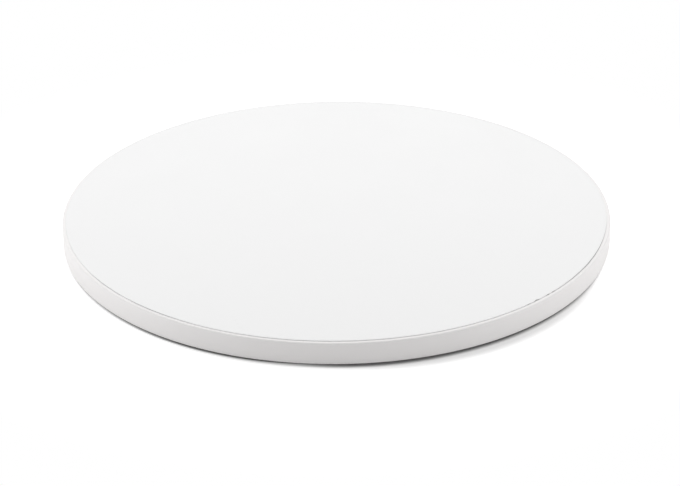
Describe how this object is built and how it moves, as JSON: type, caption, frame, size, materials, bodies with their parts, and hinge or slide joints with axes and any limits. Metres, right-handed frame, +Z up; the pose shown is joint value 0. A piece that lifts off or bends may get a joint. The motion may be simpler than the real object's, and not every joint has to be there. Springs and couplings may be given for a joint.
{
  "type": "cake board",
  "caption": "Thick round cake board: a pressed-board disc with smooth white facing and a wrapped edge, which carries and displays a cake.",
  "frame": {"origin": "centre of the underside, on the surface that the board lies on", "axes": "+Z up through the board's thickness; X and Y lie in the board's plane, and the board is round about Z"},
  "size_m": [0.3, 0.3, 0.0127],
  "materials": {
    "facing_card": "satin",
    "coated_wrap": "satin",
    "base_paper": "matte",
    "pressed_board": "matte"
  },
  "bodies": {
    "root": {"core_board": "pressed_board", "edge_strip": "coated_wrap", "top_sheet": "facing_card", "base_sheet": "base_paper"}
  },
  "joints": []
}
